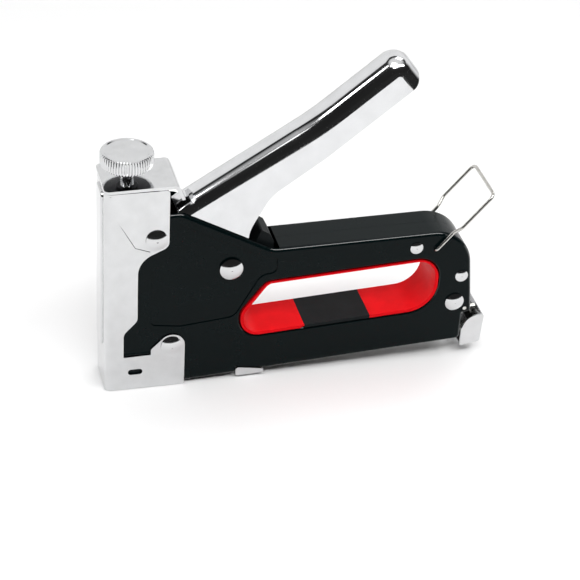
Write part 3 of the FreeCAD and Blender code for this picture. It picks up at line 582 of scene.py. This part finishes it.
@dataclass
class PressedDetails:
    """Fine stamped features of the nose cover and shells, the same on both sides.

    The crease's path is in millimetres along and up the gun. Its section gives, for each point, the
    share of the crease's width across it and the share of its rise outward.
    """

    chrome: bpy.types.Material
    paint: bpy.types.Material
    crease_width: float = 0.8 * MM
    crease_rise: float = 0.14 * MM
    crease_path: tuple[tuple[float, float], ...] = ((-1.4, 104.6), (-1.4, 96.5), (9.6, 77.0), (16.4, 74.4))
    crease_section: tuple[tuple[float, float], ...] = (
        (-0.5, -0.05), (-0.2, 0.8), (0.0, 1.0), (0.2, 0.8), (0.5, -0.05), (0.0, -0.3))
    crease_smooth: float = 60.0
    tab_low: float = 18.7 * MM
    tab_high: float = 26.0 * MM
    tab_front: float = 5.3 * MM
    tab_rear: float = 16.9 * MM
    tab_rise: float = 0.55 * MM
    tab_inset: float = 0.45 * MM
    tab_sheet: float = 0.2 * MM
    lip_height: float = 0.8 * MM
    lip_bend: float = 1.4 * MM
    lip_share: float = 1.3
    face_share: float = 0.5
    top_slope: float = 1.0 * MM
    tab_edge: float = 0.12 * MM
    tab_edge_steps: int = 2

    def __post_init__(self) -> None:
        """Read where the cover's and the shells' faces are."""
        cover_low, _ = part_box("nose_cover")
        shell_low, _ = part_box("near_shell")
        self.cover_face = -cover_low.y
        self.shell_face = -shell_low.y

    def crease(self, side: int) -> bpy.types.Object:
        """The shallow raised crease over the cheek of the nose cover.

        Args:
            side: -1 for the near side, 1 for the far side.

        Returns:
            The crease as its own piece.
        """
        path = [Vector((x * MM, z * MM)) for x, z in self.crease_path]
        rings = []
        for i, point in enumerate(path):
            ahead = (path[min(i + 1, len(path) - 1)] - path[max(i - 1, 0)]).normalized()
            across = Vector((-ahead.y, ahead.x))
            ring = []
            for share, rise in self.crease_section:
                spot = point + across * (share * self.crease_width)
                ring.append(Vector((spot.x, side * (self.cover_face + rise * self.crease_rise), spot.y)))
            rings.append(ring)
        crease = ring_surface(f"cover_crease_{SIDES[side]}", rings)
        smooth_by_angle(crease, self.crease_smooth)
        dress(crease, self.chrome)
        return crease

    def tab(self, side: int) -> bpy.types.Object:
        """The painted tab with a turned-out lower edge in the window of the nose cover.

        Args:
            side: -1 for the near side, 1 for the far side.

        Returns:
            The tab as its own piece.
        """
        base = self.shell_face - self.tab_inset
        lip = base + self.tab_rise * self.lip_share
        face = base + self.tab_rise * self.face_share
        back = base - self.tab_sheet
        profile = (
            (self.tab_low, lip),
            (self.tab_low + self.lip_height, lip),
            (self.tab_low + self.lip_bend, face),
            (self.tab_high - self.top_slope, face),
            (self.tab_high, base),
            (self.tab_high, back),
            (self.tab_low, back),
        )
        rings = [[Vector((x, side * out, z)) for z, out in profile] for x in (self.tab_front, self.tab_rear)]
        tab = ring_surface(f"window_tab_{SIDES[side]}", rings)
        bevel = tab.modifiers.new("edges", "BEVEL")
        bevel.width = self.tab_edge
        bevel.segments = self.tab_edge_steps
        dress(tab, self.paint)
        return tab

    def build(self) -> list[bpy.types.Object]:
        """Build both details on both sides.

        Returns:
            The four pieces, which ride on the frame.
        """
        made = [piece for side in SIDES for piece in (self.crease(side), self.tab(side))]
        for piece in made:
            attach(piece, "frame")
        return made


# ---- carried-over solids -------------------------------------------------------------------------------


@dataclass
class SolidParts:
    """The solids whose shape is already right, which only need their finish."""

    materials: dict[str, bpy.types.Material]

    def build(self) -> int:
        """Dress every solid by its slot in the record.

        Returns:
            How many solids were dressed.
        """
        slots = {part["node"]: part["material_slot"] for part in frame["record"]["subparts"]}
        for node, thing in frame["nodes"].items():
            dress(thing, self.materials[slots[node]])
        return len(frame["nodes"])


# ---- studio --------------------------------------------------------------------------------------------


@dataclass(frozen=True)
class Lamp:
    """A soft rectangular light: where it hangs, its width and depth, and its power in watts."""

    name: str
    place: tuple[float, float, float]
    size: tuple[float, float]
    power: float

    def hang(self, target: Vector) -> None:
        """Hang the lamp so that it points at a place.

        Args:
            target: The place that it points at.
        """
        data = bpy.data.lights.new(self.name, "AREA")
        data.shape = "RECTANGLE"
        data.size, data.size_y = self.size
        data.energy = self.power
        lamp = bpy.data.objects.new(self.name, data)
        lamp.location = self.place
        lamp.rotation_mode = "QUATERNION"
        lamp.rotation_quaternion = (target - Vector(self.place)).to_track_quat("-Z", "Y")
        bpy.context.scene.collection.objects.link(lamp)


LAMPS = (
    Lamp("key", (-0.35, -0.6, 1.7), (1.0, 1.0), 6.0),
    Lamp("strip", (0.30, -0.62, 0.98), (1.2, 0.2), 8.0),
    Lamp("side", (-0.86, -0.10, 0.98), (0.3, 0.3), 2.2),
    Lamp("back", (0.9, 1.0, 1.9), (1.0, 1.0), 8.0),
)


@dataclass
class Studio:
    """Plain pale floor, soft lights and the camera.

    Each sky is a list of heights and brightnesses, from the horizon up. The camera's turn is its
    heading, its downward tilt and its roll in degrees.
    """

    floor_half: float = 6.0
    floor_front: float = -0.32
    floor_gap: float = 0.2 * MM
    floor_shade: float = 0.92
    floor_roughness: float = 0.9
    floor_specular: float = 0.1
    camera_place: tuple[float, float, float] = (-0.12757, -0.75675, 0.55233)
    camera_turn: tuple[float, float, float] = (15.74, 33.13, 3.39)
    lens: float = 124.14
    sensor: float = 36.0
    lamp_target: tuple[float, float, float] = (0.085, 0.0, 0.07)
    near_sky: tuple[tuple[float, float], ...] = (
        (0.0, 0.025), (0.06, 0.02), (0.70, 0.015), (0.88, 0.8), (1.0, 0.9))
    far_sky: tuple[tuple[float, float], ...] = (
        (0.0, 0.85), (0.30, 1.0), (0.59, 0.95), (0.64, 0.03), (0.74, 0.02), (0.86, 0.85), (1.0, 0.9))
    sky_seam: tuple[float, float] = (-0.15, 0.25)
    sky_strength: float = 1.05

    def floor(self) -> None:
        """Lay the floor just under the gun, from a front edge near it to far behind."""
        low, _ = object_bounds()
        half, front = self.floor_half, self.floor_front
        corners = [(-half, front, 0), (half, front, 0), (half, half, 0), (-half, half, 0)]
        mesh = bpy.data.meshes.new("floor")
        mesh.from_pydata(corners, [], [(0, 1, 2, 3)])
        sheet = bpy.data.objects.new("floor", mesh)
        sheet.location.z = low.z - self.floor_gap
        bpy.context.scene.collection.objects.link(sheet)
        material = bpy.data.materials.new("floor")
        material.use_nodes = True
        shader = material.node_tree.nodes["Principled BSDF"]
        shade = self.floor_shade
        shader.inputs["Base Color"].default_value = (shade, shade, shade, 1.0)
        shader.inputs["Roughness"].default_value = self.floor_roughness
        shader.inputs["Specular IOR Level"].default_value = self.floor_specular
        mesh.materials.append(material)
        sheet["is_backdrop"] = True

    def profile(self, tree: bpy.types.NodeTree, height: bpy.types.NodeSocket,
                stops: tuple[tuple[float, float], ...]) -> bpy.types.NodeSocket:
        """Brightness of the sky by height above the horizon.

        Args:
            tree: The world's node tree.
            height: The direction's upward part.
            stops: Pairs of height and brightness.

        Returns:
            The brightness.
        """
        ramp = tree.nodes.new("ShaderNodeValToRGB")
        while len(ramp.color_ramp.elements) < len(stops):
            ramp.color_ramp.elements.new(0.5)
        for element, (position, value) in zip(ramp.color_ramp.elements, stops):
            element.position = position
            element.color = (value, value, value, 1.0)
        tree.links.new(height, ramp.inputs["Fac"])
        return ramp.outputs["Color"]

    def sky(self) -> None:
        """Light the gun with a dim near side and a bright far side, and show plain white to the camera."""
        world = bpy.data.worlds.new("studio")
        bpy.context.scene.world = world
        world.use_nodes = True
        tree = world.node_tree
        tree.nodes.clear()
        output = tree.nodes.new("ShaderNodeOutputWorld")
        place = tree.nodes.new("ShaderNodeTexCoord")
        split = tree.nodes.new("ShaderNodeSeparateXYZ")
        tree.links.new(place.outputs["Generated"], split.inputs["Vector"])
        room = self.profile(tree, split.outputs["Z"], self.near_sky)
        backdrop = self.profile(tree, split.outputs["Z"], self.far_sky)
        side = tree.nodes.new("ShaderNodeMapRange")
        side.interpolation_type = "SMOOTHSTEP"
        side.inputs["From Min"].default_value, side.inputs["From Max"].default_value = self.sky_seam
        tree.links.new(split.outputs["Y"], side.inputs["Value"])
        blend = tree.nodes.new("ShaderNodeMix")
        blend.data_type = "RGBA"
        tree.links.new(side.outputs["Result"], blend.inputs["Factor"])
        tree.links.new(room, blend.inputs["A"])
        tree.links.new(backdrop, blend.inputs["B"])
        lit = tree.nodes.new("ShaderNodeBackground")
        lit.inputs["Strength"].default_value = self.sky_strength
        tree.links.new(blend.outputs["Result"], lit.inputs["Color"])
        seen = tree.nodes.new("ShaderNodeBackground")
        seen.inputs["Color"].default_value = (1.0, 1.0, 1.0, 1.0)
        path = tree.nodes.new("ShaderNodeLightPath")
        mix = tree.nodes.new("ShaderNodeMixShader")
        tree.links.new(path.outputs["Is Camera Ray"], mix.inputs["Fac"])
        tree.links.new(lit.outputs["Background"], mix.inputs[1])
        tree.links.new(seen.outputs["Background"], mix.inputs[2])
        tree.links.new(mix.outputs["Shader"], output.inputs["Surface"])

    def camera(self) -> None:
        """Stand the camera left of the near side, looking down on the gun."""
        azimuth, elevation, roll = (math.radians(angle) for angle in self.camera_turn)
        level = math.cos(elevation)
        ahead = Vector((math.sin(azimuth) * level, math.cos(azimuth) * level, -math.sin(elevation)))
        right = Vector((math.cos(azimuth), -math.sin(azimuth), 0.0))
        up = right.cross(ahead)
        lean, rise = math.sin(roll), math.cos(roll)
        right, up = rise * right + lean * up, rise * up - lean * right
        turn = Matrix((right, up, -ahead)).transposed().to_4x4()
        data = bpy.data.cameras.new("camera")
        data.lens = self.lens
        data.sensor_width = self.sensor
        camera = bpy.data.objects.new("camera", data)
        camera.matrix_world = Matrix.Translation(self.camera_place) @ turn
        bpy.context.scene.collection.objects.link(camera)
        bpy.context.scene.camera = camera
        bpy.context.scene.view_settings.view_transform = "Standard"

    def build(self) -> None:
        """Set up the whole studio."""
        self.floor()
        self.sky()
        for lamp in LAMPS:
            lamp.hang(Vector(self.lamp_target))
        self.camera()


def main() -> None:
    """Build every class in order."""
    logging.basicConfig(level=logging.INFO, format="%(name)s: %(message)s")
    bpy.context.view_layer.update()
    effects = Effects()
    materials = {finish.slot.value: finish.material(effects) for finish in FINISHES}
    dressed = SolidParts(materials).build()
    log.info("dressed %d solids", dressed)
    knob = TensionKnob(materials)
    details = PressedDetails(materials[Slot.BRIGHT_CHROME.value], materials[Slot.BLACK_PAINT.value])
    for piece in knob.build() + details.build():
        log.info("built %s", piece.name)
    Studio().build()


if __name__ == "__main__":
    main()
